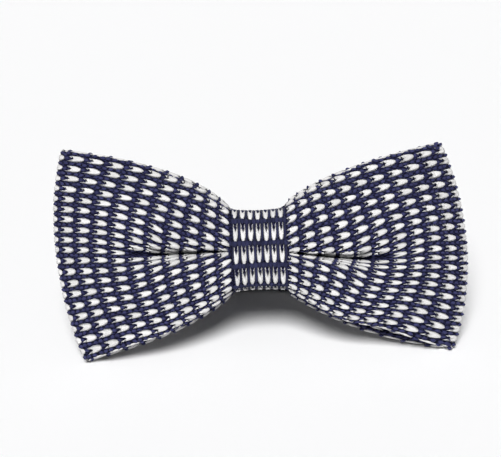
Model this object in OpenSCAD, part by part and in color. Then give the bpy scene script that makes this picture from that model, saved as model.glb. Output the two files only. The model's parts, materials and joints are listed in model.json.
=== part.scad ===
// Pre-tied knitted bow tie, standing on its two lower corners and leaning back on its folded neckband.
// Millimetres. +X to the wearer's left as seen from the front, +Y to the back, +Z up.
// The origin is on the table, under the middle of the bow's box.

/* [Bow] */
// Reach of the left loop from the middle of the knot
left_reach = 59.3; // [52:0.1:66]
// Reach of the right loop from the middle of the knot
right_reach = 60.6; // [52:0.1:66]
// How far the bow leans back from upright, in degrees
lean = 22; // [15:1:30]
// Height of the knot's middle over the table
knot_height = 28.95; // [27:0.1:34]
// Thickness of one knitted layer of a loop
knit_t = 2.8; // [2:0.1:3.5]

/* [Knot] */
// Width of the knot wrap
wrap_w = 15.4; // [13:0.2:20]
// Height of the knot wrap
wrap_h = 23; // [21:0.5:28]
// Thickness of the knot from front to back
wrap_d = 15.2; // [14.8:0.2:18]
// Thickness of the knitted wrap
wrap_t = 2.4; // [1.6:0.1:2.6]
// Diameter of the thread that gathers the waist
thread_d = 1; // [0.6:0.1:1.2]

/* [Neckband] */
// Width of the neckband
band_w = 12; // [10:0.5:14]
// Thickness of the neckband
band_t = 1.2; // [0.8:0.1:1.3]
// Half the length of the folded runs
hank_half = 27; // [24:1:30]
// Spacing of the folded runs
run_pitch = 3.2; // [3:0.1:4]

/* [Fittings] */
// Diameter of the round bars that the neckband folds over
bar_d = 1.4; // [1:0.1:1.6]
// Thickness of the metal of the hook and eye
metal_t = 1.3; // [1:0.1:1.5]
// Width of the hook's tongue
tongue_w = 5; // [3:0.5:7]

/* [Hidden] */
navy = [0.11, 0.12, 0.25];
dark = [0.05, 0.05, 0.09];
white = [0.93, 0.93, 0.9];
steel = [0.75, 0.76, 0.78];
gap = 0.2; // between soft pieces that lie on each other

middle_x = (left_reach - right_reach) / 2; // puts the box's middle over the origin
knot_y = -18.6;
wrap_front = -8;
wrap_back = wrap_front + wrap_d;
wrap_r = 3.4; // radius of the wrap's long edges
waist_front = wrap_front + wrap_t + gap;
waist_back = 2.4;
waist_half = wrap_h / 2 - wrap_t - gap;
tunnel_y = (waist_back + wrap_back - wrap_t) / 2; // middle of the neckband's way through the knot
loop_start = wrap_w / 2 + gap;

// Points along a curve with two, three or four handles, without its last point.
function mix(a, b, t) = a + (b - a) * t;
function curve(p, t) = len(p) == 1 ? p[0] : curve([for (i = [0 : len(p) - 2]) mix(p[i], p[i + 1], t)], t);
function along(p, n) = [for (i = [0 : n - 1]) curve(p, i / n)];
function flatten(a) = [for (b = a) for (c = b) c];
function rounded(x0, y0, x1, y1, r, n = 6) = flatten([
    for (c = [[x1 - r, y1 - r, 0], [x0 + r, y1 - r, 90], [x0 + r, y0 + r, 180], [x1 - r, y0 + r, 270]])
        [for (i = [0 : n]) [c[0] + r * cos(c[2] + 90 * i / n), c[1] + r * sin(c[2] + 90 * i / n)]]]);

// Carries a shape from the bow's own axes, with the knot's middle at their origin, to where it stands.
module standing() {
    translate([middle_x, knot_y, knot_height]) rotate([-lean, 0, 0]) children();
}

// Carries a shape from the neckband's axes: the table's height, with y counted from the knot's middle.
module behind() {
    translate([middle_x, knot_y, 0]) children();
}

// ---- The two loops

// A loop's outline from the front: top edge, outer edge and bottom edge, each one curve.
module loop_outline(top, outer, bottom) {
    polygon(concat(along(top, 10), along(outer, 12), along(bottom, 10), [bottom[len(bottom) - 1]]));
}

// A loop's outline from above: front layer, rounded outer fold, back layer. inset moves it inwards.
function plan(reach, start, inset) = concat(
    along([[start, waist_front + inset], [24, -9.4 + inset], [46, -13 + inset], [reach - inset, -2 + inset / 2]], 14),
    along([[reach - inset, -2 + inset / 2], [reach - inset, 5.6 - inset], [42, 5.4 - inset],
        [24, waist_back - inset]], 12),
    [[24, waist_back - inset], [start, waist_back - inset]]);

module loop(reach, top, outer, bottom) {
    intersection() {
        translate([0, 0, -40]) linear_extrude(80)
            difference() {
                polygon(plan(reach, loop_start, 0));
                polygon(plan(reach, loop_start + 6, knit_t));
            }
        translate([0, 30, 0]) rotate([90, 0, 0]) linear_extrude(60) loop_outline(top, outer, bottom);
    }
}

// The half of the pinched waist that runs from a loop into the knot, with a groove for the thread.
module waist() {
    groove = 1.8 * thread_d;
    translate([groove, waist_front, -waist_half])
        cube([loop_start - groove + 1, waist_back - waist_front, 2 * waist_half]);
    translate([0.05, waist_front + thread_d, thread_d - waist_half])
        cube([groove, waist_back - waist_front - 2 * thread_d, 2 * (waist_half - thread_d)]);
}

module left_wing() {
    color(navy) standing() mirror([1, 0, 0]) {
        loop(left_reach,
            [[loop_start, 11.8], [20.5, 24.6], [57.2, 30.2]],
            [[58.5, 29], [63.6, 3], [54.1, -28.5]],
            [[52.6, -29.75], [22, -23.8], [loop_start, -11.3]]);
        waist();
    }
}

module right_wing() {
    color(navy) standing() {
        loop(right_reach,
            [[loop_start, 12], [20.5, 22.2], [54.9, 28.3]],
            [[56.4, 27.1], [65.4, -2], [58, -28.6]],
            [[56.6, -30.1], [27, -26.5], [14.5, -15.6], [loop_start, -11.5]]);
        waist();
    }
}

// ---- The knot

// Extrudes an outline drawn in y and z along x, centred.
module across(w) {
    rotate([90, 0, 90]) translate([0, 0, -w / 2]) linear_extrude(w) children();
}

module knot_wrap() {
    color(navy) standing() across(wrap_w) difference() {
        polygon(rounded(wrap_front, -wrap_h / 2, wrap_back, wrap_h / 2, wrap_r));
        polygon(rounded(wrap_front + wrap_t, wrap_t - wrap_h / 2, wrap_back - wrap_t, wrap_h / 2 - wrap_t, 0.15, 2));
    }
}

// Three turns of thread lie in the groove of the waist.
module gather_thread() {
    turn = 1.1 * thread_d;
    color(white) standing() for (i = [-1 : 1]) translate([i * turn, 0, 0]) across(thread_d) difference() {
        polygon(rounded(waist_front + 0.05, 0.05 - waist_half, waist_back - 0.05, waist_half - 0.05, thread_d));
        polygon(rounded(waist_front + thread_d - 0.05, thread_d - waist_half - 0.05,
            waist_back - thread_d + 0.05, waist_half - thread_d + 0.05, 0.1, 2));
    }
}

// Hand stitches cross the line where the wrap's ends meet, on its lower edge at the back.
module wrap_seam() {
    stitch = 0.7;
    color(dark) standing() for (x = [-5 : 2.5 : 5])
        translate([x, wrap_back - wrap_r, wrap_r - wrap_h / 2]) rotate([-52.5, 0, 0])
            translate([0, wrap_r + stitch / 2, 0]) rotate([0, 65, 0]) {
                cylinder(h = 3, d = stitch, center = true, $fn = 24);
                for (end = [-1.5, 1.5]) translate([0, 0, end]) sphere(d = stitch, $fn = 24);
            }
}

// ---- The neckband

tunnel_h = knot_height - tunnel_y * sin(lean);
tunnel_back = tunnel_y * cos(lean);
run_y = 34.8; // the first whole run behind the knot
run_z = 7.2; // height of the middle of the folded runs
end_y = 50.2; // the line that both ends of the neckband lie on
end_z = 8; // height of the middle of the fittings
fold_r = run_pitch / 2;
bar_y = end_y + fold_r;
eye_x = 5;
hook_x = -18;
tail_x = 26; // the loose end beyond the adjuster
adjuster_x = 16;

function half_turn(x, y, r, side, z, n = 8) =
    [for (i = [1 : n - 1]) [x + side * r * sin(180 * i / n), y + r * (1 - cos(180 * i / n)), z]];

// The long arm: out of the knot, round behind it, down to the folded runs, and along to the eye.
function long_arm() = concat(
    [[0, tunnel_back, tunnel_h], [7, tunnel_back, tunnel_h], [13, tunnel_back, tunnel_h]],
    [for (a = [20 : 20 : 160])
        [13 + 7 * sin(a), tunnel_back + 7 * (1 - cos(a)), mix(tunnel_h, 21, (1 - cos(a)) / 2)]],
    along([[13, tunnel_back + 14, 21], [-2, tunnel_back + 14, 17], [-4, run_y - run_pitch, run_z],
        [-20, run_y - run_pitch, run_z]], 8),
    [[-20, run_y - run_pitch, run_z], [-hank_half, run_y - run_pitch, run_z]],
    half_turn(-hank_half, run_y - run_pitch, fold_r, -1, run_z),
    flatten([for (i = [0 : 2]) let (side = i % 2 == 0 ? 1 : -1, y = run_y + i * run_pitch) concat(
        [[-side * hank_half, y, run_z], [side * hank_half, y, run_z]],
        i < 2 ? half_turn(side * hank_half, y, fold_r, side, run_z) : [])]),
    [for (a = [20 : 20 : 160]) let (y = run_y + 2 * run_pitch, r = (end_y - y) / 2)
        [hank_half + r * sin(a), y + r * (1 - cos(a)), mix(run_z, end_z, a / 180)]],
    [[hank_half, end_y, end_z], [eye_x, end_y, end_z]],
    half_turn(eye_x, end_y, fold_r, -1, end_z),
    [[eye_x, end_y + run_pitch, end_z], [tail_x, end_y + run_pitch, end_z]]);

// The short arm: out of the knot, round the left end of the folded runs, to the hook and folded back.
function short_arm() = concat(
    along([[-13, tunnel_back, tunnel_h], [-22, tunnel_back, tunnel_h], [-34, 10, 24], [-34, 26, 14]], 8),
    along([[-34, 26, 14], [-34, 38, 6], [-38, end_y, end_z], [-26, end_y, end_z]], 8),
    [[-26, end_y, end_z], [hook_x, end_y, end_z]],
    half_turn(hook_x, end_y, fold_r, 1, end_z),
    [[hook_x, end_y + run_pitch, end_z], [hook_x - 2, end_y + run_pitch - 0.3, end_z],
        [hook_x - 4, end_y + band_t + 0.5, end_z], [hook_x - 6, end_y + band_t + 0.1, end_z],
        [hook_x - 8, end_y + band_t + 0.1, end_z]]);

// The whole route, from the loose end at the hook to the loose end at the adjuster.
function band_route() = let (s = short_arm(), n = len(s) - 1)
    concat([for (i = [n : -1 : 0]) s[i]], [[-7, tunnel_back, tunnel_h]], long_arm());

function unit(v) = v / norm(v);
// How far the neckband's width still leans with the bow: all of it in the knot, none at the runs.
function leaning(p) = lean * min(1, max(0, (12 - p[1]) / (12 - tunnel_back)));

module neckband() {
    route = band_route();
    n = len(route) - 1;
    corners = flatten([for (i = [0 : n]) let (
        t = unit(route[min(n, i + 1)] - route[max(0, i - 1)]),
        lift = [0, sin(leaning(route[i])), cos(leaning(route[i]))],
        up = unit(lift - t * (lift * t)),
        side = cross(t, up),
        w = up * band_w / 2,
        d = side * band_t / 2)
        [route[i] - w - d, route[i] - w + d, route[i] + w + d, route[i] + w - d]]);
    walls = [for (i = [0 : n - 1], k = [0 : 3]) let (a = 4 * i + k, b = 4 * i + (k + 1) % 4)
        for (f = [[a, b, b + 4], [a, b + 4, a + 4]]) f];
    ends = [[3, 2, 1, 0], [4 * n, 4 * n + 1, 4 * n + 2, 4 * n + 3]];
    color(dark) behind() polyhedron(points = corners, faces = concat(walls, ends), convexity = 12);
}

// An elastic loop holds the three whole runs together.
module band_tie() {
    tie_t = 1;
    tie_w = 4;
    tie_x = 8;
    low = run_z - band_w / 2 - gap;
    high = run_z + band_w / 2 + gap;
    front = run_y - band_t / 2 - gap;
    back = run_y + 2 * run_pitch + band_t / 2 + gap;
    color("black") behind() translate([tie_x, 0, 0]) across(tie_w) difference() {
        polygon(rounded(front - tie_t, low - tie_t, back + tie_t, high + tie_t, 1.2, 4));
        polygon(rounded(front, low, back, high, 0.2, 2));
    }
}

// ---- The fittings

frame_half = band_w / 2 + 0.4 + metal_t; // half the height of the hook and eye

// A flat metal piece drawn in x and z, standing on the line of the bars.
module plate(t) {
    translate([0, bar_y + t / 2, end_z]) rotate([90, 0, 0]) linear_extrude(t) children();
}

module upright_bar(x) {
    h = 2 * (frame_half - metal_t);
    color(steel) behind() translate([x, bar_y, end_z]) cylinder(h = h, d = bar_d, center = true, $fn = 32);
}

// The three-sided frame that holds a bar at x0 and closes at x1. The window between them is open.
module open_frame(x0, x1) {
    low_x = min(x0, x1);
    high_x = max(x0, x1);
    difference() {
        polygon(rounded(low_x, -frame_half, high_x, frame_half, 1.2));
        polygon(rounded(low_x + metal_t, metal_t - frame_half, high_x - metal_t, frame_half - metal_t, 0.3, 2));
        translate([x0 - 2, metal_t - frame_half]) square([4, 2 * (frame_half - metal_t)]);
    }
}

module hook_frame() {
    end_x = hook_x + 5;
    curl_x = end_x + 2.6;
    curl_r = 1.7;
    color(steel) behind() {
        plate(metal_t) open_frame(hook_x - bar_d / 2, end_x);
        translate([0, bar_y, end_z - tongue_w / 2]) linear_extrude(tongue_w) {
            translate([end_x - 0.4, -metal_t / 2]) square([curl_x - end_x + 0.4, metal_t]);
            translate([curl_x, curl_r]) difference() {
                circle(r = curl_r + metal_t / 2, $fn = 48);
                circle(r = curl_r - metal_t / 2, $fn = 48);
                translate([-10, -5]) square([10, 10]);
            }
            translate([curl_x - 3, 2 * curl_r - metal_t / 2]) square([3, metal_t]);
        }
    }
}

module hook_bar() {
    upright_bar(hook_x);
}

module eye_frame() {
    color(steel) behind() plate(metal_t) open_frame(eye_x + bar_d / 2, eye_x - 10);
}

module eye_bar() {
    upright_bar(eye_x);
}

// The slide goes round both layers of the neckband, and its bar lies between them.
module adjuster_frame() {
    slide_w = 7;
    wall = 0.8;
    clear_y = fold_r + band_t / 2 + 0.3;
    clear_z = band_w / 2 + 0.4;
    color(steel) behind() translate([adjuster_x, bar_y, end_z]) across(slide_w) difference() {
        polygon(rounded(-clear_y - wall, -clear_z - wall, clear_y + wall, clear_z + wall, 1.2));
        polygon(rounded(-clear_y, -clear_z, clear_y, clear_z, 0.4, 3));
    }
}

module adjuster_bar() {
    h = band_w + 0.8;
    color(steel) behind() translate([adjuster_x, bar_y, end_z])
        cylinder(h = h, d = bar_d, center = true, $fn = 32);
}

// A bar of close stitches on each face of the neckband.
module bar_tack(x, front_y, back_y) {
    tack_t = 0.35;
    tack_h = 8;
    for (y = [front_y - tack_t, back_y])
        translate([x - 0.7, y, end_z - tack_h / 2]) cube([1.4, tack_t, tack_h]);
}

module hook_tack() {
    color(navy) behind() bar_tack(hook_x - 6.8, end_y - band_t / 2, end_y + band_t / 2 + band_t + 0.1);
}

module band_end_tack() {
    color(navy) behind() bar_tack(tail_x - 1.4, end_y + run_pitch - band_t / 2, end_y + run_pitch + band_t / 2);
}

left_wing();
right_wing();
knot_wrap();
gather_thread();
wrap_seam();
neckband();
band_tie();
hook_frame();
hook_bar();
hook_tack();
eye_frame();
eye_bar();
adjuster_frame();
adjuster_bar();
band_end_tack();
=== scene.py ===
import json
import math

import bpy
import numpy as np
from mathutils import Matrix, Vector


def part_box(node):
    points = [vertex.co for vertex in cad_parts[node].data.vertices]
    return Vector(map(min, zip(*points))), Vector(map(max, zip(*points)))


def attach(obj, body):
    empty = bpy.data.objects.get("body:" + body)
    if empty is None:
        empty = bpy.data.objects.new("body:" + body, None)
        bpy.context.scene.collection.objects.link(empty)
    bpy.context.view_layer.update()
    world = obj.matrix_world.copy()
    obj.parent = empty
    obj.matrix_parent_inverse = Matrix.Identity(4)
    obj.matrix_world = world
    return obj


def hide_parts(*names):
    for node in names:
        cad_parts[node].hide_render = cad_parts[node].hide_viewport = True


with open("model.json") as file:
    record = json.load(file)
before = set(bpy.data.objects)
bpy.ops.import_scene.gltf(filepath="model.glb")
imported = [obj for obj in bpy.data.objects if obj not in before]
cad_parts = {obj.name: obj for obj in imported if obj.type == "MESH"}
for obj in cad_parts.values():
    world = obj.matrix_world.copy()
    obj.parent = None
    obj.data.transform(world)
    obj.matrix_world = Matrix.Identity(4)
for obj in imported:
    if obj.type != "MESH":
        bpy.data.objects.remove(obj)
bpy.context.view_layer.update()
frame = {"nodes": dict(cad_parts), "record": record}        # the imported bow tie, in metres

mm = 0.001

# The bow has axes of its own, in mm: knot's middle at 0, face towards -Y. It leans back in the frame.
collarRest = frame["record"]["mounts"][0]
restNormal = Vector(collarRest["axis"])
lean = math.atan2(-restNormal.z, restNormal.y)
leanTurn = np.array(Matrix.Rotation(-lean, 3, "X"))
knotBack = np.array([0, 7.2, 5])        # the collar rest's place in the bow's axes
knotMiddle = np.array(collarRest["pos_m"]) - leanTurn @ knotBack * mm


def standing(points):        # from the bow's axes to the frame's
    return points @ leanTurn.T * mm + knotMiddle


def smooth(x):
    x = np.clip(x, 0, 1)
    return x * x * (3 - 2 * x)


def mix(a, b, t):
    return a + (b - a) * t


def unit(v):
    return v / np.maximum(np.linalg.norm(v, axis=-1, keepdims=True), 1e-9)


def boxy(x, power):        # bends a sine or cosine, to make an oval boxy
    return np.sign(x) * np.abs(x) ** power


def curve(handles, t):        # a point on a curve with two, three or four handles
    rows = [np.asarray(h, float) for h in handles]
    t = np.asarray(t, float)
    if rows[0].ndim == 1:
        t = t[..., None]
    while len(rows) > 1:
        rows = [mix(a, b, t) for a, b in zip(rows, rows[1:])]
    return rows[0]


def lengths(points):        # how far along a line of points each of them is
    return np.concatenate([[0], np.cumsum(np.linalg.norm(np.diff(points, axis=0), axis=1))])


def evenly(points, count):        # count + 1 points at equal steps along a line of points
    far = lengths(points)
    at = np.linspace(0, far[-1], count + 1)
    return np.stack([np.interp(at, far, points[:, k]) for k in range(points.shape[1])], 1), far[-1]


# Meshes: rings of points joined by faces

def gridFaces(n, k, closed=False):        # n rings of k points, and closed joins the last ring to the first
    i, j = np.meshgrid(np.arange(n if closed else n - 1), np.arange(k), indexing="ij")
    beside, following = (j + 1) % k, (i + 1) % n * k
    return np.stack([i * k + j, i * k + beside, following + beside, following + j], -1).reshape(-1, 4)


def fan(first, k, middle, flip):        # closes a ring of k points round its middle
    sides = [(first + j, first + (j + 1) % k) for j in range(k)]
    return [(b, a, middle) if flip else (a, b, middle) for a, b in sides]


def triangles(faces):
    out = []
    for face in faces:
        out.append(tuple(face[:3]))
        if len(face) == 4:
            out.append((face[0], face[2], face[3]))
    return np.array(out)


def makeMesh(name, places, faces, uv=None, tone=None):
    mesh = bpy.data.meshes.new(name)
    places, faces = np.asarray(places), np.asarray(faces)
    sides = faces.shape[1]
    a, b, c = (places[faces[:, k]] for k in (0, 1, 2))
    inside = float(np.sum(a * np.cross(b, c)))
    if sides == 4:
        inside += float(np.sum(a * np.cross(c, places[faces[:, 3]])))
    if inside < 0:        # faces point outwards
        faces = faces[:, ::-1]
    mesh.vertices.add(len(places))
    mesh.vertices.foreach_set("co", np.asarray(places, np.float32).ravel())
    mesh.loops.add(faces.size)
    mesh.loops.foreach_set("vertex_index", faces.astype(np.int32).ravel())
    mesh.polygons.add(len(faces))
    mesh.polygons.foreach_set("loop_start", np.arange(0, faces.size, sides, dtype=np.int32))
    mesh.update(calc_edges=True)
    if uv is not None:
        layer = mesh.uv_layers.new(name="yarn")
        layer.data.foreach_set("uv", np.asarray(uv, np.float32)[faces.ravel()].ravel())
    if tone is not None:
        tones = mesh.attributes.new("tone", "FLOAT", "POINT")
        tones.data.foreach_set("value", np.asarray(tone, np.float32))
    mesh.polygons.foreach_set("use_smooth", np.ones(len(faces), bool))
    mesh.update()
    piece = bpy.data.objects.new(name, mesh)
    bpy.context.collection.objects.link(piece)
    return piece


# A knitted tube lies flat, as a band. It is a grid of places along the band and round the tube.

edgeSteps = np.linspace(0, 1, 9)[1:-1]        # places on a band's round edges


class Band:
    def __init__(self, face, inward, thick, length, width):
        # face is the outer side, [along, across]. The other lies thick behind it, and round edges join them.
        self.length, self.width, self.round = length, width, math.pi * thick / 2
        self.total = 2 * width + 2 * self.round
        along = unit(np.gradient(face, axis=0))
        across = unit(np.gradient(face, axis=1))
        normal = unit(np.cross(along, across)) * inward
        radius = thick / 2
        parts = [(face, -normal)]
        for edge, way in ((-1, 1), (0, -1)):
            middle = face[:, edge] + normal[:, edge] * radius
            out = across[:, edge] * way
            side = [-normal[:, edge] * math.cos(a) + out * math.sin(a) for a in edgeSteps * math.pi]
            places, normals = np.stack([middle + s * radius for s in side], 1), np.stack(side, 1)
            if edge == -1:
                parts += [(places, normals), ((face + normal * thick)[:, ::-1], normal[:, ::-1])]
            else:
                parts.append((places[:, ::-1], normals[:, ::-1]))
        self.places = np.concatenate([p for p, _ in parts] + [face[:, :1]], 1)
        self.normals = np.concatenate([n for _, n in parts] + [-normal[:, :1]], 1)
        flat, edge = np.linspace(0, width, face.shape[1]), self.round * edgeSteps
        self.marks = np.concatenate([flat, width + edge, width + self.round + flat,
                                     2 * width + self.round + edge, [self.total]])

    def at(self, along, round_, height):        # places on the band, lifted by height
        a = np.clip(along / self.length, 0, 1) * (len(self.places) - 1)
        r = np.interp(np.mod(round_, self.total), self.marks, np.arange(len(self.marks)))
        i = np.minimum(a.astype(int), len(self.places) - 2)
        j = np.minimum(r.astype(int), len(self.marks) - 2)
        s, t = (a - i)[..., None], (r - j)[..., None]
        found = []
        for grid in (self.places, self.normals):
            low = mix(grid[i, j], grid[i + 1, j], s)
            high = mix(grid[i, j + 1], grid[i + 1, j + 1], s)
            found.append(mix(low, high, t))
        return found[0] + unit(found[1]) * height[..., None]


# One knitted stitch: two fat legs that part at the fork and meet at the tip

stitchForm = {
    "sunk": -0.4,                              # its underside, in heights
    "stations": (0, 0.24, 0.58, 0.86),         # from the fork's bottom to the tip
    "outer": (0.97, 1.0, 0.88, 0.55),          # half width there
    "crest": (0.55, 0.5, 0.42, 0.25),          # where a leg is highest
    "high": (1, 1, 0.95, 0.75),
    "groove": (0.1, 0.8, 0.88, 0.72),          # height between the legs
    "legEnds": ((-1, -0.07), (1, 0.03)),       # the leg on the lower side is the longer one
}


def stitch(long, wide, tall, fork):
    # Its tip is at +X and its fork at -X. It is a closed shape on the cloth, with its underside sunk in.
    form, sunk = stitchForm, stitchForm["sunk"]
    places, uv, faces = [], [], []

    def point(k, y, z):        # k runs from fork to tip, y is in half widths, z in heights
        places.append(((k - 0.5) * long, y * wide / 2, z * tall))
        uv.append((k, y / 2))
        return len(places) - 1

    stations = fork + (1 - fork) * np.array(form["stations"])
    middles = [point(k, 0, g) for k, g in zip(stations, form["groove"])]
    tip = point(1, 0, sunk / 2)
    legs = []
    for side, end in form["legEnds"]:
        start = point(end, side * 0.74, 0.05)
        inner = point(fork * 0.5, side * 0.33, sunk)
        rows = [(point(fork * 0.5, side * 0.9, sunk), point(fork * 0.5, side * 0.63, 0.75))]
        for k, o, c, h in zip(stations, form["outer"], form["crest"], form["high"]):
            rows.append((point(k, side * o, sunk), point(k, side * c, h)))
        faces += [(start, rows[0][1], inner), (start, *rows[0]), (start, inner, rows[0][0])]
        ring = [inner] + middles
        for (o1, c1), (o2, c2), m1, m2 in zip(rows, rows[1:], ring, ring[1:]):
            faces += [(o1, o2, c2, c1), (c1, c2, m2, m1)]
        faces += [(inner, middles[0], rows[1][0], rows[0][0]), (rows[-1][0], tip, rows[-1][1]),
                  (rows[-1][1], tip, middles[-1])]
        legs.append([o for o, _ in rows])
    left, right = legs
    faces.append((middles[0], right[1], left[1]))
    faces += [(left[k], right[k], right[k + 1], left[k + 1]) for k in range(1, 4)]
    faces.append((left[4], right[4], tip))
    return outwards(np.array(places), faces), np.array(uv)


def outwards(places, faces):        # turns each face away from the middle line under the shape, or of its leg
    under = -0.05
    turned = []
    for face in faces:
        corners = places[list(face)]
        normal = np.cross(corners[1] - corners[0], corners[2] - corners[0])
        middle = corners.mean(0)
        if len(face) == 4:
            normal = normal + np.cross(corners[2] - corners[0], corners[3] - corners[0])
        away = middle - np.array([middle[0], 0, under])
        if abs(middle[1]) > 0.05:
            away = middle - np.array([middle[0] * 0.9, middle[1] * 0.62, under])
        turned.append(face if normal @ away > 0 else face[::-1])
    return places, turned


def bead(long, wide, tall, rings=3, sides=5):        # a short navy loop, seen as a small bump
    places, uv, faces = [(-long / 2, 0, 0)], [(0, 0)], []
    for k in range(1, rings + 1):
        t = k / (rings + 1)
        size = math.sin(math.pi * t) ** 0.6
        for n in range(sides):
            turn = 2 * math.pi * n / sides
            places.append(((t - 0.5) * long, wide / 2 * size * math.sin(turn), tall * size * math.cos(turn)))
            uv.append((t, n / sides))
    places.append((long / 2, 0, 0))
    uv.append((1, 0))
    last = 1 + (rings - 1) * sides
    for n in range(sides):
        m = (n + 1) % sides
        faces += [(0, 1 + m, 1 + n), (last + n, last + m, len(places) - 1)]
        for k in range(rings - 1):
            a = 1 + k * sides
            faces.append((a + n, a + m, a + sides + m, a + sides + n))
    return (np.array(places, float), faces), np.array(uv, float)


uneven = {"size": 0.04, "place": 0.07, "yarnShift": 8}        # no two stitches are quite alike


def knit(name, band, pattern, cells, lift, seed, turnBy):
    # cells is a list of (along, round, length scale, height scale). Each gets its own copy of the stitch.
    draws = np.random.default_rng(seed)
    (places, faces), uv = pattern
    faces = triangles(faces)
    cells = np.array(cells, float)
    onCloth = np.zeros(len(cells))
    above, below = (band.at(cells[:, 0], cells[:, 1] + d, onCloth) for d in (0.5, -0.5))
    squeeze = np.clip(np.linalg.norm(above - below, axis=1), 0.25, 1)        # a squeezed stitch is less proud
    n, k = len(cells), len(places)
    turn = draws.normal(0, turnBy, n)
    size = 1 + draws.normal(0, uneven["size"], (n, 3))
    shift = draws.normal(0, uneven["place"], (n, 2))
    x = places[None, :, 0] * size[:, :1] * cells[:, 2:3]
    y = places[None, :, 1] * size[:, 1:2]
    z = (places[None, :, 2] * size[:, 2:3] + lift) * squeeze[:, None] * cells[:, 3:4]
    along = cells[:, :1] + shift[:, :1] + x * np.cos(turn)[:, None] - y * np.sin(turn)[:, None]
    round_ = cells[:, 1:2] + shift[:, 1:2] + x * np.sin(turn)[:, None] + y * np.cos(turn)[:, None]
    placed = band.at(along.ravel(), round_.ravel(), z.ravel())
    allFaces = (faces[None] + (np.arange(n) * k)[:, None, None]).reshape(-1, 3)
    tone = np.repeat(draws.uniform(0, 1, n), k)
    spread = np.tile(uv, (n, 1)) + np.repeat(draws.uniform(0, uneven["yarnShift"], (n, 2)).round(), k, 0)
    return makeMesh(name, standing(placed), allFaces, spread, tone)


# The two loops

loopSize = {
    "columns": 5.1,                   # from one white column to the next, along the band
    "rows": 3.24,                     # from one white stitch to the next, across it
    "rowCount": 19,
    "thick": 2.3,
    "start": 7.0,                     # where a loop leaves the knot
    "firstColumn": 3.1,
    "white": (4.3, 2.15, 0.6),        # length, width and height of a stitch
    "fork": 0.4,
    "navy": (1.5, 1.05, 0.34),
    "lift": 0.12,                     # of the white stitches, and the ground cloth lies as far under
    "insideRows": 6,                  # rows knitted inside the loop from each edge, as far as can be seen
    "foldHalf": 2.6,
    "bentHeights": (0.4, 1.7),        # on the fold and round edges white is pulled flat and navy bulges
}

# Along a loop, 0 is at the knot and 1 at the fold. The plans are seen from above.
loopForm = {
    "front": [[24, -9.6], [46, -12.6]],
    "back": [[42, 5.0], [24, 2.1]],
    "creaseDeep": ([0, 0.25, 0.4, 0.5, 0.6, 0.7, 0.8], [7.6, 8.0, 6.8, 5.0, 3.0, 1.3, 0]),
    "creaseOpen": ([0, 0.15, 0.3, 0.5, 0.65, 0.8], [0.4, 0.7, 1.5, 2.7, 2.0, 0]),
    "pleats": 4, "pleatDeep": 0.9,        # behind, by the knot
    "wave": 0.16,
}

loops = {
    "left_wing": {
        "side": -1, "reach": 59.3, "crease": 0.033, "dip": 0.05, "frontLift": 1.0, "seed": 11,
        "top": [[7.9, 11.8], [20.5, 24.6], [57.2, 30.2]],
        "bottom": [[7.9, -11.3], [22, -23.8], [52.6, -29.75]],
    },
    "right_wing": {
        "side": 1, "reach": 60.6, "crease": -0.033, "dip": 0.1, "frontLift": 2.4, "seed": 23,
        "top": [[7.9, 12], [20.5, 22.2], [54.9, 28.3]],
        "bottom": [[7.9, -11.5], [14.5, -15.6], [27, -26.5], [56.6, -30.1]],
    },
}
loopWidth = loopSize["rowCount"] * loopSize["rows"]


def loopPlan(shape, count):        # out along the front, round the fold and back behind
    fold, behind = [shape["reach"] - 0.4, -2.2], [shape["reach"] - 0.2, 4.6]
    t = np.linspace(0, 1, 60)
    front = curve([[loopSize["start"], -6.6], *loopForm["front"], fold], t)
    back = curve([fold, behind, *loopForm["back"]], t)
    return evenly(np.concatenate([front, back[1:], [[loopSize["start"], 1.9]]]), count)


def halfAcross(edge, creaseAt, y, a, flat, isFront, ease, count):
    # A line across half of a loop, from its edge to the bottom of the crease.
    high = edge[1] - creaseAt
    deep = float(np.interp(a, *loopForm["creaseDeep"])) if isFront else 0
    gap = float(np.interp(a, *loopForm["creaseOpen"])) * math.copysign(1, high)
    lip = deep * 2 / (deep + 2)
    edgeY, bulge1, bulge2 = -0.2, 0.6, 0.6
    if isFront:
        edgeY, bulge1, bulge2 = mix(4.6, 1.0, flat), mix(-2.0, -0.5, flat), mix(-3.4, -0.6, flat)
    handles = [[edge[1], y + edgeY], [creaseAt + high * mix(1.08, 0.72, flat), y + bulge1],
               [creaseAt + high * mix(0.02, 0.33, flat), y + bulge2], [creaseAt + gap, y + lip]]
    lobe = curve(handles, np.linspace(0, 1, 70))
    wall = mix(lobe[-1], np.array([creaseAt, y + deep + 0.01]), np.linspace(0, 1, 21)[1:, None])
    half = np.concatenate([lobe, wall])
    far = lengths(half)
    # Cloth that isn't seen is squeezed into the crease.
    seen = far[len(lobe) - 1] - 0.5
    squeezed = np.interp(far, [0, seen, far[-1]], [0, min(0.97, seen / (loopWidth / 2 * ease)), 1])
    share = mix(far / far[-1], squeezed, float(smooth((0.55 - a) / 0.4)) if isFront else 0)
    want = np.linspace(0, 1, count + 1)
    return np.stack([np.interp(want, share, half[:, k]) for k in (0, 1)], 1)


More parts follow.
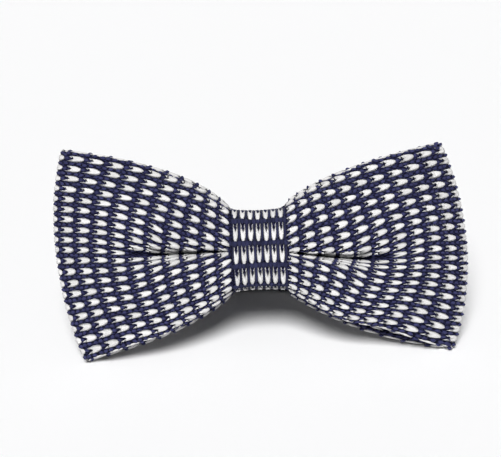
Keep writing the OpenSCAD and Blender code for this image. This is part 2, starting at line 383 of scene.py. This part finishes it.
def loopFace(shape, nAlong=150, nAcross=96):        # the outer side of a loop, [along, across]
    start, reach = loopSize["start"], shape["reach"]
    plan, length = loopPlan(shape, nAlong)
    fold = np.argmax(plan[:, 0])
    q = np.linspace(0, 1, nAcross + 1)
    face = np.zeros((nAlong + 1, nAcross + 1, 3))
    for i, (x, y) in enumerate(plan):
        a = float(np.clip((x - start) / (reach - start), 0, 1))
        isFront = i <= fold
        top, bottom = curve(shape["top"], a), curve(shape["bottom"], a)
        flat, dip = 1, 0
        if isFront:
            bottom = bottom + np.array([0, shape["frontLift"] * math.exp(-((a - 0.74) / 0.17) ** 2)])
            flat = float(smooth((a - 0.1) / 0.72))
            dip = shape["dip"] * (1 - float(smooth((a - 0.35) / 0.5)))
        creaseAt = (shape["crease"] - dip) * x
        low, high = (halfAcross(edge, creaseAt, y, a, flat, isFront, ease, nAcross // 2)
                     for edge, ease in ((bottom, mix(0.86, 1, flat)), (top, 1)))
        path = np.concatenate([low, high[::-1][1:]])
        if not isFront:
            pleat = loopForm["pleatDeep"] * (1 - float(smooth(a / 0.4)))
            path[:, 1] += pleat * np.cos(q * 2 * math.pi * loopForm["pleats"])
        face[i, :, 0] = curve([[bottom[0]], [2 * x - (bottom[0] + top[0]) / 2], [top[0]]], q)[:, 0]
        face[i, :, 1], face[i, :, 2] = path[:, 1], path[:, 0]
    # The band is never quite even.
    ways = np.linspace(0, length, nAlong + 1), np.linspace(0, 61, nAcross + 1)
    u, v = np.meshgrid(*ways, indexing="ij")
    waves = np.sin(u * 0.21 + v * 0.13 + shape["side"]) + np.sin(v * 0.31 - u * 0.09)
    face[:, :, 1] += loopForm["wave"] * waves
    face[:, :, 0] *= shape["side"]
    return face, length, fold / nAlong * length


def loopCells(length, band, side, foldAt):        # where the stitches go
    rows, columns = loopSize["rows"], loopSize["columns"]
    around = 2 * loopSize["rowCount"] + 2        # one row lies on each round edge
    pitch = band.total / around
    inner = loopWidth + band.round        # the side that faces into the loop starts here
    flatHeight, bulgeHeight = loopSize["bentHeights"]
    white, navy = [], []
    for c in range(int(length / columns) + 1):
        x = loopSize["firstColumn"] + c * columns
        if x > length - 1:
            continue
        for r in range(around):
            m = (r + 0.5) * pitch
            if min(m - inner, inner + loopWidth - m) > loopSize["insideRows"] * rows:
                continue
            here, there = (band.at(np.array([x]), np.array([m + d]), np.zeros(1)) for d in (-0.8, 0.8))
            onEdge = not (m < loopWidth or 0 < m - inner < loopWidth)
            bent = onEdge or abs(x - foldAt) < loopSize["foldHalf"]
            if np.linalg.norm(here - there) > 0.95:        # not in the depth of the crease
                white.append((x, m, side, flatHeight if bent else 1))
            for dx, dm in ((columns / 2, 0.02), (columns / 2, 0.5), (-1.15, 0.5), (0.85, 0.5)):
                if 0 < x + dx < length:
                    navy.append((x + dx, m + dm * pitch, side, bulgeHeight if bent else 1))
    return white, navy


def makeLoop(name, nAlong=110, nRound=132):
    shape = loops[name]
    face, length, foldAt = loopFace(shape)
    side, seed, lift = shape["side"], shape["seed"], loopSize["lift"]
    band = Band(face, -side, loopSize["thick"], length, loopWidth)
    ways = np.linspace(0, length, nAlong + 1), np.arange(nRound) * band.total / nRound
    along, round_ = (way.ravel() for way in np.meshgrid(*ways, indexing="ij"))
    faces = gridFaces(nAlong + 1, nRound).tolist()
    # Both ends are closed by a strip between the two layers of the flat tube.
    edge = round((band.total - band.round) / band.total * nRound) // 2
    for s in range(nRound // 2):
        strip = list(dict.fromkeys((edge + k) % nRound for k in (-s, -s - 1, s + 1, s)))
        faces += [strip, [nAlong * nRound + k for k in strip[::-1]]]
    places = standing(band.at(along, round_, np.full(along.size, -lift)))
    ground = makeMesh(name + "_cloth", places, triangles(faces), np.stack([along, round_], 1))
    white, navy = loopCells(length, band, side, foldAt)
    # On both loops the forks point left as seen from the front.
    whitePattern, navyPattern = stitch(*loopSize["white"], loopSize["fork"]), bead(*loopSize["navy"])
    whiteKnit = knit(name + "_white_stitches", band, whitePattern, white, lift, seed, 0.04)
    navyKnit = knit(name + "_navy_stitches", band, navyPattern, navy, 0.0, seed + 1, 0.3)
    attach(ground, "bow")
    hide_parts(name)
    for piece, slotName in ((whiteKnit, "knit_white"), (navyKnit, "knit")):
        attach(piece, "bow")
    print(name, "made, with", len(white), "white stitches and", len(navy), "navy ones")
    return ground, whiteKnit, navyKnit


made = {name: makeLoop(name) for name in loops}

# The knot: a narrow knitted band round the waist, sewn to itself behind

knotSize = {
    "width": 15.0, "height": 23.0, "front": -8.0, "back": 7.0,
    "thick": 2.2,
    "waist": 0.5,            # how far its middle is drawn in, above and below
    "columns": 2.2,          # from one white column to the next, across the band
    "columnCount": 7,
    "rowCount": 10,          # rows of white stitches round the knot
    "seamTurn": 0.95,        # how far under the middle of the back the ends meet, in radians
    "firstRow": 1.7,         # height of the fork of the second row seen from the front
    "white": (6.1, 1.78, 0.5),
    "fork": 0.52,
    "rib": (6.4, 0.85, 0.45),
    "navy": (2.2, 1.5, 0.42),
    "whiteAt": 2.8, "ribAt": 2.9, "navyAt": 6.15, "betweenAt": 6.35,        # their middles, from a row's fork
}


def makeKnot(nAlong=140, nRound=60, ringSteps=160):
    middleY = (knotSize["front"] + knotSize["back"]) / 2
    deep, high = (knotSize["back"] - knotSize["front"]) / 2, knotSize["height"] / 2
    turn = np.linspace(0, 2 * math.pi, 241) - knotSize["seamTurn"]
    power = 2 / 3.4        # between an oval and a box
    # Round the band from the seam, up the back, over the top, down the front and under.
    y = middleY + deep * boxy(np.cos(turn), power)
    z = high * boxy(np.sin(turn), power)
    ring, length = evenly(np.stack([y, z], 1), ringSteps)
    x = np.linspace(-knotSize["width"] / 2, knotSize["width"] / 2, 41)
    waistIn = knotSize["waist"] * (1 - (np.abs(x) / x.max()) ** 2)
    face = np.zeros((len(ring), len(x), 3))
    face[:, :, 0] = x
    face[:, :, 1] = middleY + (ring[:, :1] - middleY) * (1 - 0.2 * waistIn / deep)
    face[:, :, 2] = ring[:, 1:] * (1 - waistIn / high)
    band = Band(face, -1, knotSize["thick"], length, knotSize["width"])
    ways = np.arange(nAlong) * length / nAlong, np.arange(nRound) * band.total / nRound
    along, round_ = (way.ravel() for way in np.meshgrid(*ways, indexing="ij"))
    toSeam = np.minimum(along, length - along)
    places = standing(band.at(along, round_, -0.1 - 0.55 * np.exp(-(toSeam / 0.5) ** 2)))
    cloth = makeMesh("knot_wrap_cloth", places, gridFaces(nAlong, nRound, True), np.stack([along, round_], 1))
    # Rows are counted down the front from the fork of the second row, which is at a known height.
    front = np.flatnonzero((ring[:, 0] < middleY - 4) & (np.abs(ring[:, 1]) < 9))
    start = np.interp(-knotSize["firstRow"], -ring[front, 1], front * length / ringSteps)
    pitch = length / knotSize["rowCount"]
    white, ribs, navy = [], [], []
    across, count = knotSize["columns"], knotSize["columnCount"]
    for r in range(knotSize["rowCount"]):
        top = start + r * pitch
        for c in range(round(band.total / across)):
            m = knotSize["width"] / 2 + (c - (count - 1) / 2) * across
            if c < count:
                white.append(((top + knotSize["whiteAt"]) % length, m, 1, 1))
            ribs.append(((top + knotSize["ribAt"]) % length, m + across / 2, 1, 1))
            navy.append(((top + knotSize["navyAt"]) % length, m, 1, 1))
            navy.append(((top + knotSize["betweenAt"]) % length, m + across / 2, 1, 1))
    pieces = []
    for name, pattern, cells, lift, slotName in (
            ("knot_white_stitches", stitch(*knotSize["white"], knotSize["fork"]), white, 0.12, "knit_white"),
            ("knot_ribs", bead(*knotSize["rib"]), ribs, 0.1, "wrap_knit"),
            ("knot_navy_stitches", bead(*knotSize["navy"]), navy, 0.12, "wrap_knit")):
        clear = [p for p in cells if 1.6 < p[0] < length - 1.6]        # of the seam
        piece = knit(name, band, pattern, clear, lift, 31, 0.02)
        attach(piece, "bow")
        pieces.append(piece)
    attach(cloth, "bow")
    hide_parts("knot_wrap")
    print("knot made, with", len(white), "white stitches")
    # Five slanted stitches close the seam.
    seam = []
    for m in np.arange(-5, 5.1, 2.5) + knotSize["width"] / 2:
        t = np.linspace(-1, 1, 13)
        seam.append(band.at(t * 0.75 % length, m + t * 1.5, 0.25 - 0.55 * t ** 4))
    return cloth, pieces, seam


knotCloth, knotStitches, seamStitches = makeKnot()

# The neckband: woven tape, folded behind the bow. Its way is in mm in the frame's axes, from the knot's
# middle and up from the table.

tape = {
    "width": 12.0, "thick": 1.2,
    "tunnel": 3.6,        # behind the knot's middle, in the bow's axes
    "runY": 34.8, "runZ": 7.2, "half": 27.0, "pitch": 3.2,
    "endY": 50.2, "endZ": 8.0, "eyeX": 5.0, "hookX": -18.0, "tailX": 26.0,
}


def halfTurn(x, y, r, side, z, n=16):
    turns = [math.pi * i / n for i in range(1, n)]
    return [(x + side * r * math.sin(a), y + r * (1 - math.cos(a)), z) for a in turns]


def bend(handles, n=20):
    return [tuple(p) for p in curve(handles, np.arange(n) / n)]


def straight(a, b, n):
    return [tuple(p) for p in mix(np.array(a, float), np.array(b, float), np.linspace(0, 1, n + 1)[:, None])]


def tapeRoute():
    tunnelY = tape["tunnel"] * math.cos(lean)
    tunnelZ = knotMiddle[2] / mm - tape["tunnel"] * math.sin(lean)
    pitch, half = tape["pitch"], tape["half"]
    r = pitch / 2
    runY, runZ, endY, endZ = tape["runY"], tape["runZ"], tape["endY"], tape["endZ"]
    # The long arm: out of the knot, back behind it, runs to and fro, and the doubled end with the eye.
    longArm = straight((-13, tunnelY, tunnelZ), (13, tunnelY, tunnelZ), 12)
    for a in np.radians(range(10, 180, 10)):
        turned = 1 - math.cos(a)
        longArm.append((13 + 7 * math.sin(a), tunnelY + 7 * turned, mix(tunnelZ, 21, turned / 2)))
    first = runY - pitch
    longArm += bend([(13, tunnelY + 14, 21), (-2, tunnelY + 14, 17), (-4, first, runZ), (-20, first, runZ)])
    longArm += straight((-20, first, runZ), (-half, first, runZ), 3)
    longArm += halfTurn(-half, first, r, -1, runZ)
    for i, side in enumerate((1, -1, 1)):
        y = runY + i * pitch
        longArm += straight((-side * half, y, runZ), (side * half, y, runZ), 16)
        if i < 2:
            longArm += halfTurn(side * half, y, r, side, runZ)
    last = runY + 2 * pitch
    wide = (endY - last) / 2
    for a in range(10, 180, 10):
        s = math.radians(a)
        longArm.append((half + wide * math.sin(s), last + wide * (1 - math.cos(s)), mix(runZ, endZ, a / 180)))
    longArm += straight((half, endY, endZ), (tape["eyeX"], endY, endZ), 8)
    longArm += halfTurn(tape["eyeX"], endY, r, -1, endZ)
    longArm += straight((tape["eyeX"], endY + pitch, endZ), (tape["tailX"], endY + pitch, endZ), 8)
    # The short arm: out of the other side, round behind, and folded on the hook.
    hook = tape["hookX"]
    shortArm = bend([(-13, tunnelY, tunnelZ), (-22, tunnelY, tunnelZ), (-34, 10, 24), (-34, 26, 14)])[1:]
    shortArm += bend([(-34, 26, 14), (-34, 38, 6), (-38, endY, endZ), (-26, endY, endZ)])
    shortArm += straight((-26, endY, endZ), (hook, endY, endZ), 4)
    shortArm += halfTurn(hook, endY, r, 1, endZ)
    for step, behind in ((0, pitch), (2, pitch - 0.3), (4, 1.7), (6, 1.3), (8, 1.3)):
        shortArm.append((hook - step, endY + behind, endZ))
    return np.array(shortArm[::-1] + longArm), tunnelY


def makeTape():
    route, tunnelY = tapeRoute()
    route = route[np.concatenate([[True], np.linalg.norm(np.diff(route, axis=0), axis=1) > 0.05])]
    n = len(route)
    # The tape leans with the bow in the knot, and stands upright 12 mm behind it.
    leaning = lean * np.clip((12 - route[:, 1]) / (12 - tunnelY), 0, 1)
    ahead = unit(np.gradient(route, axis=0))
    lift = np.stack([np.zeros(n), np.sin(leaning), np.cos(leaning)], 1)
    up = unit(lift - ahead * np.sum(lift * ahead, 1, keepdims=True))
    side = np.cross(ahead, up)
    w, t, r = tape["width"] / 2, tape["thick"] / 2, 0.3
    # The tape's section has rounded selvedges, and rows of points across its faces.
    rise = list(np.linspace(-w + r, w - r, 9))
    section = [(u, t) for u in rise] + [(w - 0.08, t * 0.6), (w, 0), (w - 0.08, -t * 0.6)]
    section += [(u, -t) for u in rise[::-1]] + [(-w + 0.08, -t * 0.6), (-w, 0), (-w + 0.08, t * 0.6)]
    k = len(section)
    rings = np.stack([route + up * u + side * v for u, v in section], 1)
    middles = rings[[0, -1]].mean(1)
    places = np.concatenate([rings.reshape(-1, 3), middles]) * mm + [knotMiddle[0], knotMiddle[1], 0]
    far = lengths(route)
    uv = np.stack([np.repeat(far, k), np.tile([u for u, _ in section], n)], 1)
    uv = np.concatenate([uv, [[0, 0], [far[-1], 0]]])
    faces = gridFaces(n, k)[:, [0, 3, 2, 1]].tolist()
    faces += fan(0, k, n * k, False) + fan((n - 1) * k, k, n * k + 1, True)
    piece = makeMesh("neckband_tape", places, triangles(faces), uv)
    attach(piece, "neckband")
    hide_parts("neckband")
    print("neckband made,", round(far[-1]), "mm long")
    return piece


tapePiece = makeTape()

# Threads: two plies twisted together

threadSize = {        # radius, and the length of one turn of the plies
    "seam": (0.3, 1.1),
    "tack": (0.16, 0.6),
    "winding": (0.45, 1.4),
    "join": (0.15, 0.6),
}


def thread(name, kind, paths, body, node=None, sides=10):
    radius, pitch = (size * mm for size in threadSize[kind])
    places, faces, uv = [], [], []
    for path in paths:
        path = np.asarray(path, float)
        n, first = len(path), len(places)
        ahead = unit(np.gradient(path, axis=0))
        helper = np.where(np.abs(ahead[:, 2:]) < 0.8, [[0, 0, 1]], [[0, 1, 0]])
        across = unit(np.cross(ahead, helper))
        other = np.cross(across, ahead)
        far = lengths(path)
        for k in range(n):
            ends = min(1, 0.35 + min(k, n - 1 - k) * 0.35)
            for j in range(sides):
                turn = 2 * math.pi * j / sides
                lobes = radius * ends * (0.8 + 0.2 * math.cos(2 * (turn - 2 * math.pi * far[k] / pitch)))
                out = across[k] * lobes * math.cos(turn) + other[k] * lobes * math.sin(turn)
                places.append(path[k] + out)
                uv.append((far[k], j / sides))
        places += [path[0], path[-1]]
        uv += [(far[0], 0), (far[-1], 0)]
        middle = first + n * sides
        faces += (gridFaces(n, sides) + first).tolist()
        faces += fan(first, sides, middle, True) + fan(middle - sides, sides, middle + 1, False)
    piece = makeMesh(name, places, triangles(faces), uv, np.zeros(len(places)))
    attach(piece, body)
    if node:
        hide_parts(node)
    return piece


def boxCorners(node):
    low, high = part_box(node)
    return np.array(low), np.array(high)


def zigzag(low, high, y, count=22):        # a row of close stitches, up a tack
    z = np.linspace(low[2] + 0.2 * mm, high[2] - 0.2 * mm, count)
    x = np.where(np.arange(count) % 2 == 0, low[0] + 0.2 * mm, high[0] - 0.2 * mm)
    corners = np.stack([x, np.full(count, y), z], 1)
    path = []
    for a, b in zip(corners, corners[1:]):
        for t in np.linspace(0, 1, 6)[:-1]:
            lift = 0.08 * mm * math.sin(math.pi * t)
            path.append(mix(a, b, t) + np.array([0, math.copysign(lift, y - (low[1] + high[1]) / 2), 0]))
    return path


threads = [thread("wrap_seam_stitches", "seam", [standing(p) for p in seamStitches], "bow", "wrap_seam")]
for node in ("hook_tack", "band_end_tack"):
    low, high = boxCorners(node)
    paths = [zigzag(low, high, y) for y in (low[1] + 0.17 * mm, high[1] - 0.17 * mm)]
    threads.append(thread(node + "_stitches", "tack", paths, "neckband", node))

# Inside the knot: the gathers of the two loops, and the winding that pinches them, in the bow's axes

waist = {
    "middleY": -1.5,
    "turns": 3, "windDeep": 3.35, "windHigh": 8.35, "windHalf": 1.1,
    "gatherDeep": 3.1, "gatherHigh": 8.0, "from": 0.2, "to": 8.2,
    "pleats": 14, "pleatDeep": 0.06,
    "pinch": 0.16, "pinchLength": 2.2,
}


def windingPath():
    t = np.linspace(0, waist["turns"] * 2 * math.pi, 150)
    y = waist["middleY"] + waist["windDeep"] * boxy(np.cos(t), 0.6)
    z = waist["windHigh"] * boxy(np.sin(t), 0.6)
    x = np.interp(t, [0, t[-1]], [-waist["windHalf"], waist["windHalf"]])
    return np.stack([x, y, z], 1)


threads.append(thread("waist_winding", "winding", [standing(windingPath())], "bow", "gather_thread"))
print("threads made")


def makeGathers(name, n=14, k=96):
    side, middleY = loops[name]["side"], waist["middleY"]
    x = np.linspace(waist["from"], waist["to"], n)
    turn = np.arange(k) * 2 * math.pi / k
    places = []
    for step in x:
        size = 1 - waist["pinch"] * math.exp(-(step / waist["pinchLength"]) ** 2)
        size = size * (1 + waist["pleatDeep"] * np.cos(turn * waist["pleats"] + 0.4 * step))
        y = middleY + waist["gatherDeep"] * size * boxy(np.cos(turn), 0.7)
        z = waist["gatherHigh"] * size * boxy(np.sin(turn), 0.7)
        places.append(np.stack([np.full(k, side * step), y, z], 1))
    places = np.concatenate(places + [[[side * waist["from"], middleY, 0], [side * waist["to"], middleY, 0]]])
    faces = gridFaces(n, k).tolist() + fan(0, k, n * k, True) + fan((n - 1) * k, k, n * k + 1, False)
    uv = np.concatenate([np.stack([np.repeat(x, k), np.tile(turn * 8, n)], 1), np.zeros((2, 2))])
    piece = makeMesh(name + "_gathers", standing(places), triangles(faces), uv)
    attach(piece, "bow")
    return piece


gathers = [makeGathers(name) for name in loops]
print("gathers made")

# The tie: a ring of ribbed elastic round the folded neckband

tie = {"ribs": 7, "thick": 0.85, "corner": 1.6, "ribHigh": 0.13}


def makeTie():
    low, high = (v / mm for v in boxCorners("band_tie"))
    r, t = tie["corner"], tie["thick"]
    corners = ((high[1] - r, high[2] - r, 0), (low[1] + r, high[2] - r, 90),
               (low[1] + r, low[2] + r, 180), (high[1] - r, low[2] + r, 270))
    ring = []        # each place is followed by the way out of it
    for y, z, start in corners:
        for a in np.radians(start + np.linspace(0, 90, 9)):
            ring.append((y + r * math.cos(a), z + r * math.sin(a), math.cos(a), math.sin(a)))
    ring, length = evenly(np.array(ring + ring[:1]), 150)
    ring, outs = ring[:-1, :2], unit(ring[:-1, 2:])
    width = high[0] - low[0]
    v = np.linspace(0, 1, tie["ribs"] * 6 + 1)
    lift = tie["ribHigh"] * (np.abs(np.sin(v * math.pi * tie["ribs"])) - 1)
    edge = np.minimum(1, np.minimum(v, 1 - v) * 14)
    profile = [(low[0] + width * a, b - 0.3 * t * (1 - c)) for a, b, c in zip(v, lift, edge)]
    profile += [(low[0] + width * a, -t - b) for a, b in zip(v[::-1], lift[::-1])]
    k, n = len(profile), len(ring)
    places = []
    for p, o in zip(ring, outs):
        places += [(x, p[0] + o[0] * h, p[1] + o[1] * h) for x, h in profile]
    uv = np.stack([np.repeat(np.arange(n) * length / n, k), np.tile([x for x, _ in profile], n)], 1)
    piece = makeMesh("elastic_tie", np.array(places) * mm, gridFaces(n, k, True), uv)
    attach(piece, "neckband")
    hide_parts("band_tie")
    # The ends of the elastic are joined by a tack on the outside.
    middle = (low[2] + high[2]) / 2
    joinLow = np.array([low[0] + 0.3, high[1] - 1, middle - 1.2]) * mm
    joinHigh = np.array([high[0] - 0.3, high[1], middle + 1.2]) * mm
    join = thread("tie_join", "join", [zigzag(joinLow, joinHigh, high[1] * mm, 12)], "neckband")
    print("elastic tie made,", round(length, 1), "mm round")
    return piece, join


tiePiece, tieJoin = makeTie()

# The metal fittings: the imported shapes, merged, with their edges rounded

fitting = {
    "edge": 0.22 * mm, "edgeSteps": 3,
    "bodies": {"hook_frame": "hook", "eye_frame": "eye", "adjuster_frame": "adjuster"},
    "bars": ("hook_bar", "eye_bar", "adjuster_bar"),
}


def makeFitting(node, body):
    bpy.ops.object.select_all(action="DESELECT")
    piece = bpy.data.objects.new(node + "_metal", frame["nodes"][node].data.copy())
    bpy.context.collection.objects.link(piece)
    bpy.context.view_layer.objects.active = piece
    piece.select_set(True)
    bpy.ops.object.mode_set(mode="EDIT")
    bpy.ops.mesh.select_all(action="SELECT")
    bpy.ops.mesh.remove_doubles(threshold=0.000002)
    bpy.ops.mesh.tris_convert_to_quads(face_threshold=math.radians(2), shape_threshold=math.radians(180))
    bpy.ops.object.mode_set(mode="OBJECT")
    bevel = piece.modifiers.new("rounded edges", "BEVEL")
    bevel.width, bevel.segments = fitting["edge"], fitting["edgeSteps"]
    bevel.limit_method, bevel.angle_limit = "ANGLE", math.radians(40)
    bpy.ops.object.modifier_apply(modifier=bevel.name)
    bpy.ops.object.shade_smooth_by_angle(angle=math.radians(35))
    piece.select_set(False)
    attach(piece, body)
    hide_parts(node)
    return piece


metal = [makeFitting(node, body) for node, body in fitting["bodies"].items()]
print("fittings made")

# Finishes

class Finish:        # a new material, with short ways to add its nodes
    def __init__(self, name, sockets):
        self.material = bpy.data.materials.new(name)
        self.material.use_nodes = True
        self.shader = self.material.node_tree.nodes["Principled BSDF"]
        self.setAll(self.shader, sockets)

    def setAll(self, node, sockets):
        for socket, value in sockets.items():
            node.inputs[socket].default_value = value

    def add(self, kind, **sockets):
        node = self.material.node_tree.nodes.new("ShaderNode" + kind)
        self.setAll(node, sockets)
        return node

    def link(self, start, end):
        self.material.node_tree.links.new(start, end)

    def yarnWays(self):        # along the yarn, and round or across it
        uv, parts = self.add("UVMap"), self.add("SeparateXYZ")
        uv.uv_map = "yarn"
        self.link(uv.outputs["UV"], parts.inputs[0])
        return parts.outputs["X"], parts.outputs["Y"]

    def noise(self, place, scale, detail):
        node = self.add("TexNoise", Scale=scale, Detail=detail)
        self.link(place, node.inputs["Vector"])
        return node.outputs["Fac"]

    def maths(self, kind, a, b=0):
        node = self.add("Math")
        node.operation = kind
        for socket, value in zip(node.inputs, (a, b)):
            if isinstance(value, (int, float)):
                socket.default_value = value
            else:
                self.link(value, socket)
        return node.outputs[0]

    def waves(self, value, size):
        return self.maths("SINE", self.maths("MULTIPLY", value, 2 * math.pi / size))

    def total(self, *terms):        # each term is a value and its share
        parts = [value if share == 1 else self.maths("MULTIPLY", value, share) for value, share in terms]
        while len(parts) > 1:
            parts[:2] = [self.maths("ADD", parts[0], parts[1])]
        return parts[0]

    def colour(self, value, *stops):        # two stops, each a place and its colour
        node = self.add("ValToRGB")
        for element, (place, colour) in zip(node.color_ramp.elements, stops):
            element.position, element.color = place, (*colour, 1)
        self.link(value, node.inputs["Fac"])
        self.link(node.outputs["Color"], self.shader.inputs["Base Color"])

    def bump(self, height, distance, strength=1):
        node = self.add("Bump", Strength=strength, Distance=distance)
        self.link(height, node.inputs["Height"])
        self.link(node.outputs["Normal"], self.shader.inputs["Normal"])


def yarnMaterial(name, dark, pale, sheen, roughness, bumpSize):
    # Plies twist round the yarn, fine fibres run along them, and each stitch has its own tone.
    finish = Finish(name, {"Roughness": roughness, "Sheen Weight": sheen, "Sheen Roughness": 0.5,
                           "Specular IOR Level": 0.15})
    along, around = finish.yarnWays()
    plies = finish.waves(finish.total((along, 2.5), (around, 1)), 0.5)
    fibres = finish.noise(finish.add("TexCoord").outputs["Object"], 4200, 4)
    tone = finish.add("Attribute")
    tone.attribute_name = "tone"
    finish.colour(finish.total((tone.outputs["Fac"], 0.45), (fibres, 0.55)), (0.15, dark), (0.75, pale))
    finish.bump(finish.total((plies, 0.35), (fibres, 1)), bumpSize, 0.6)
    return finish.material


def groundMaterial(name, dark, pale):
    # Small purl loops in the cloth behind the stitches. Between them the colour is painted nearly black, as
    # painted shade in the hollows.
    finish = Finish(name, {"Roughness": 0.9, "Specular IOR Level": 0.1})
    along, around = finish.yarnWays()
    purls = finish.maths("MULTIPLY", finish.waves(along, 1.7), finish.waves(around, 1.08))
    fibres = finish.noise(finish.add("TexCoord").outputs["Object"], 3000, 4)
    height = finish.total((purls, 1), (fibres, 1))
    # painted shade: the low places between the purl loops are coloured nearly black; the fibre noise is the
    # cloth's own tone
    finish.colour(height, (0.2, dark), (1.0, pale))
    finish.bump(height, 0.00025)
    return finish.material


def tapeMaterial(name, dark, pale, rib, slant, bumpSize):
    # A fine diagonal twill, or straight ribs without a slant. Broad clouds are where it is worn. The colour
    # is also painted darker in the grooves between ribs and picks, as painted shade.
    finish = Finish(name, {"Roughness": 0.8, "Sheen Weight": 0.08, "Specular IOR Level": 0.25})
    along, across = finish.yarnWays()
    place = finish.add("TexCoord").outputs["Object"]
    ribs = finish.waves(finish.total((along, 1), (across, slant)), rib)
    picks = finish.waves(across, 0.42)
    fibres, worn = finish.noise(place, 3500, 4), finish.noise(place, 90, 2)
    height = finish.total((ribs, 0.5), (picks, 0.22), (fibres, 1))
    # painted shade in the weave's grooves, mixed with the worn clouds and fibre tone, which are the tape's
    # own
    finish.colour(finish.total((height, 0.45), (worn, 0.5)), (0.1, dark), (0.85, pale))
    finish.bump(height, bumpSize, 0.8)
    return finish.material


def nickelMaterial():        # polished plate, dulled and finely scratched by use
    finish = Finish("nickel plate", {"Metallic": 1})
    place = finish.add("TexCoord").outputs["Object"]
    clouds = finish.noise(place, 260, 3)
    stretched = finish.add("Mapping", Scale=(400, 6000, 6000))
    finish.link(place, stretched.inputs["Vector"])
    scratches = finish.noise(stretched.outputs["Vector"], 1, 2)
    wear = finish.total((clouds, 0.6), (scratches, 0.4))
    rough = finish.add("MapRange")
    finish.setAll(rough, {"From Min": 0.3, "From Max": 0.7, "To Min": 0.14, "To Max": 0.34})
    finish.link(wear, rough.inputs["Value"])
    finish.link(rough.outputs["Result"], finish.shader.inputs["Roughness"])
    finish.colour(wear, (0.3, (0.72, 0.725, 0.74)), (0.7, (0.60, 0.60, 0.60)))
    finish.bump(scratches, 0.00002, 0.25)
    return finish.material


whiteYarn = yarnMaterial("white yarn", (0.485, 0.48, 0.476), (0.63, 0.623, 0.62), 0.12, 0.8, 0.00005)
navyYarn = yarnMaterial("navy yarn", (0.014, 0.015, 0.052), (0.036, 0.038, 0.11), 0.03, 0.85, 0.00008)
# The knot's navy is the same yarn as the loops', painted darker here as painted shade, since the knot faces
# the light more squarely.
knotYarnPaintedShade = yarnMaterial("navy knot yarn with painted shade", (0.006, 0.007, 0.024), (0.020, 0.022, 0.064), 0.03, 0.85, 0.00008)
sewing = yarnMaterial("sewing thread", (0.010, 0.011, 0.035), (0.05, 0.054, 0.12), 0.05, 0.6, 0.00004)
twill = tapeMaterial("navy twill", (0.004, 0.0045, 0.014), (0.022, 0.024, 0.062), 0.9, 0.9, 0.00012)
elastic = tapeMaterial("black elastic", (0.003, 0.003, 0.004), (0.022, 0.022, 0.026), 0.5, 0, 0.0001)
ground = groundMaterial("navy ground", (0.004, 0.004, 0.014), (0.018, 0.019, 0.062))
nickel = nickelMaterial()


def dress(material, *pieces):
    for piece in pieces:
        piece.data.materials.clear()
        piece.data.materials.append(material)


for cloth, whites, navies in made.values():
    dress(ground, cloth)
    dress(whiteYarn, whites)
    dress(navyYarn, navies)
dress(whiteYarn, knotStitches[0])
# the knot's navy stitches and ribs get the darker copy: painted shade
dress(knotYarnPaintedShade, *knotStitches[1:])
dress(ground, knotCloth, *gathers)
dress(twill, tapePiece)
dress(elastic, tiePiece)
dress(sewing, *threads, tieJoin)
dress(nickel, *metal, *(frame["nodes"][node] for node in fitting["bars"]))
print("finishes made")

# Camera, light and floor

view = {
    "across": 145.9413 * mm,        # width of the view at the knot
    "aim": (-2.2, 0, 6.2),          # what the middle of the view looks at, in the bow's axes
    "roll": math.radians(2.15),
    "lens": 120, "sensor": 36,
}
cameraData = bpy.data.cameras.new("camera")
cameraData.lens, cameraData.sensor_width = view["lens"], view["sensor"]
camera = bpy.data.objects.new("camera", cameraData)
bpy.context.collection.objects.link(camera)
away = view["lens"] / view["sensor"] * view["across"]
back = Vector(leanTurn @ np.array([0, -1, 0]))
right = Vector((1, 0, 0))
up = Vector(leanTurn @ np.array([0, 0, 1]))
camRight = right * math.cos(view["roll"]) - up * math.sin(view["roll"])
camUp = right * math.sin(view["roll"]) + up * math.cos(view["roll"])
turn = Matrix((camRight, camUp, back)).transposed().to_4x4()
camera.matrix_world = Matrix.Translation(Vector(standing(np.array(view["aim"]))) + back * away) @ turn
bpy.context.scene.camera = camera

bpy.ops.mesh.primitive_plane_add(size=6, location=(0, 0, 0))
floor = bpy.context.object
floor.name = "floor"
table = {"Base Color": (0.93, 0.93, 0.935, 1), "Roughness": 0.7, "Specular IOR Level": 0.2}
dress(Finish("white table", table).material, floor)

# A pale wall stands far round the table. It is only looked at, and neither lights nor shades the bow.
bpy.ops.mesh.primitive_cylinder_add(vertices=96, radius=2.9, depth=3, end_fill_type="NOTHING",
                                    location=(0, 0, 1.5))
wall = bpy.context.object
wall.name = "backdrop"
wall.visible_diffuse = wall.visible_shadow = False
pale = {"Base Color": (0, 0, 0, 1), "Emission Color": (0.9, 0.9, 0.91, 1), "Emission Strength": 1}
dress(Finish("pale wall", pale).material, wall)

world = bpy.data.worlds.new("studio")
world.use_nodes = True
world.node_tree.nodes["Background"].inputs["Color"].default_value = (1, 1, 1, 1)
world.node_tree.nodes["Background"].inputs["Strength"].default_value = 0.05
bpy.context.scene.world = world
bpy.context.scene.view_settings.view_transform = "Standard"

lights = {        # towards, spread in degrees, power
    "top light": ((0.06, 0.72, -0.69), 20, 4.3),
    "room light": ((-0.1, 0.3, -0.95), 60, 0.12),
    "back light": ((0.3, -0.8, -0.5), 60, 1.5),
}
for name, (towards, spread, power) in lights.items():
    data = bpy.data.lights.new(name, "SUN")
    data.angle, data.energy = math.radians(spread), power
    lamp = bpy.data.objects.new(name, data)
    bpy.context.collection.objects.link(lamp)
    lamp.rotation_mode = "QUATERNION"
    lamp.rotation_quaternion = Vector(towards).to_track_quat("-Z", "Y")
    if name == "back light":        # it falls on the bow tie alone, and leaves its shadow on the table dark
        bowPieces = bpy.data.collections.new("bow tie")
        for piece in [o for o in bpy.context.scene.objects if o.type == "MESH" and o not in (floor, wall)]:
            bowPieces.objects.link(piece)
        lamp.light_linking.receiver_collection = bowPieces
print("camera and lights set")
